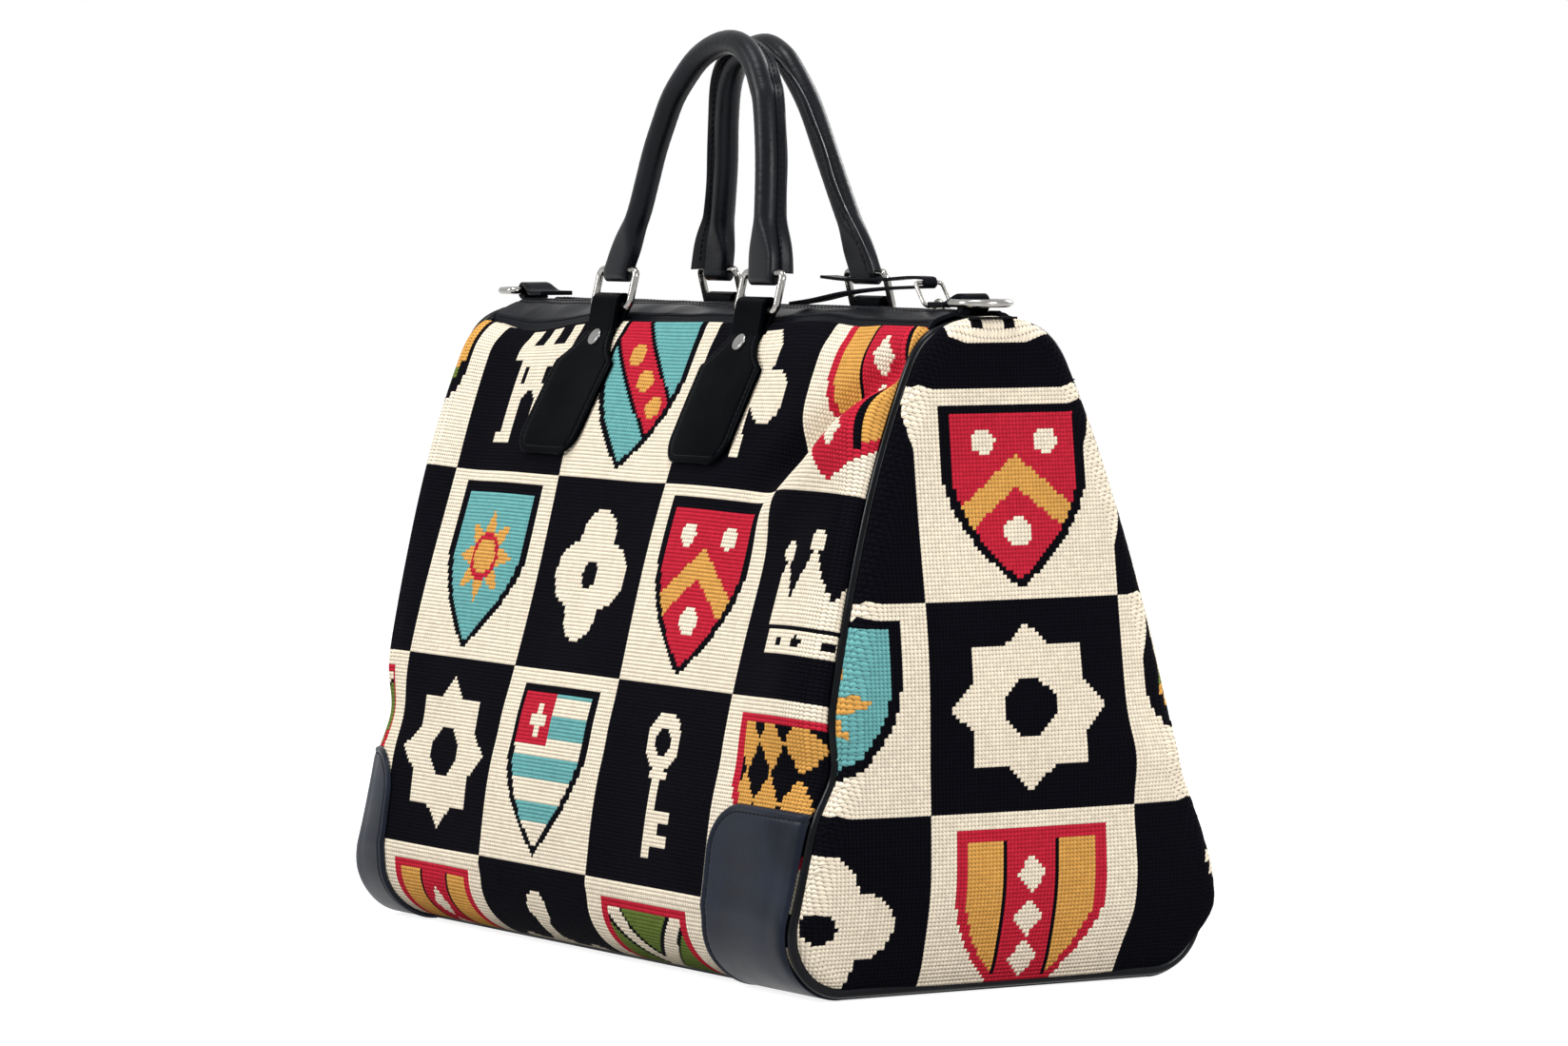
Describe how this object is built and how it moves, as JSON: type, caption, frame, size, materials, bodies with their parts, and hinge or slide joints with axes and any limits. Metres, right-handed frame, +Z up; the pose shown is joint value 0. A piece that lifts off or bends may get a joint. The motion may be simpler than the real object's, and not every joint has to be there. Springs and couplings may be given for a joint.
{
  "type": "weekender bag",
  "caption": "Needlepoint weekender bag with A-shaped ends, leather corners and piping, a zipped mouth, and rolled handles on wire rings that fold down.",
  "frame": {"origin": "under the middle of the base, on the surface it stands on", "axes": "+X along the length toward the closed end of the zip, -Y is the front, +Z up"},
  "size_m": [0.5157, 0.2622, 0.4826],
  "materials": {
    "needlepoint": "wool tent stitch on canvas, cream and black chequer with small coloured devices",
    "leather": "black grained leather, semi-matt",
    "nickel": "polished nickel wire and rivets",
    "zip_metal": "bright nickel-plated zip",
    "tape": "black woven zip tape",
    "board": "plain fibre board"
  },
  "bodies": {
    "bag": {"front_panel": "needlepoint", "back_panel": "needlepoint", "left_end_panel": "needlepoint", "right_end_panel": "needlepoint", "base_panel": "leather", "base_board": "board", "left_piping": "leather", "right_piping": "leather", "front_left_patch": "leather", "front_right_patch": "leather", "back_left_patch": "leather", "back_right_patch": "leather", "front_zip_facing": "leather", "back_zip_facing": "leather", "front_zip_tape": "tape", "back_zip_tape": "tape", "front_zip_teeth": "zip_metal", "back_zip_teeth": "zip_metal", "left_end_tab": "leather", "right_end_tab": "leather", "front_left_tab": "leather", "front_right_tab": "leather", "back_left_tab": "leather", "back_right_tab": "leather", "front_left_rivet": "nickel", "front_right_rivet": "nickel", "back_left_rivet": "nickel", "back_right_rivet": "nickel"},
    "front_rings": {"front_left_ring": "nickel", "front_right_ring": "nickel"},
    "back_rings": {"back_left_ring": "nickel", "back_right_ring": "nickel"},
    "front_handle": {"front_handle": "leather"},
    "back_handle": {"back_handle": "leather"},
    "slider": {"zip_slider": "zip_metal"},
    "puller": {"zip_puller": "zip_metal"},
    "pull": {"zip_pull_strap": "leather"},
    "left_dee": {"left_d_ring": "nickel"},
    "right_dee": {"right_d_ring": "nickel"}
  },
  "joints": [
    {"name": "front_ring_swing", "type": "hinge", "parent": "bag", "child": "front_rings", "pos_m": [-0.022, -0.03547, 0.33258], "axis": [1, 0, 0], "range_deg": [0, 100]},
    {"name": "front_handle_swing", "type": "hinge", "parent": "front_rings", "child": "front_handle", "pos_m": [-0.022, -0.03063, 0.35199], "axis": [1, 0, 0], "range_deg": [-1.5, 67]},
    {"name": "back_ring_swing", "type": "hinge", "parent": "bag", "child": "back_rings", "pos_m": [-0.022, 0.03547, 0.33258], "axis": [-1, 0, 0], "range_deg": [0, 100]},
    {"name": "back_handle_swing", "type": "hinge", "parent": "back_rings", "child": "back_handle", "pos_m": [-0.022, 0.03063, 0.35199], "axis": [-1, 0, 0], "range_deg": [-1.5, 67]},
    {"name": "zip_slide", "type": "slide", "parent": "bag", "child": "slider", "axis": [1, 0, 0], "range_m": [-0.384, 0]},
    {"name": "puller_swing", "type": "hinge", "parent": "slider", "child": "puller", "pos_m": [0.171, 0, 0.33665], "axis": [0, 1, 0], "range_deg": [0, 70]},
    {"name": "pull_swing", "type": "hinge", "parent": "puller", "child": "pull", "pos_m": [0.16136, 0, 0.34814], "axis": [0, 1, 0], "range_deg": [0, 40]},
    {"name": "left_d_ring_swing", "type": "hinge", "parent": "bag", "child": "left_dee", "pos_m": [-0.246, 0, 0.3386], "axis": [0, 1, 0], "range_deg": [0, 100]},
    {"name": "right_d_ring_swing", "type": "hinge", "parent": "bag", "child": "right_dee", "pos_m": [0.202, 0, 0.3386], "axis": [0, -1, 0], "range_deg": [0, 100]}
  ]
}
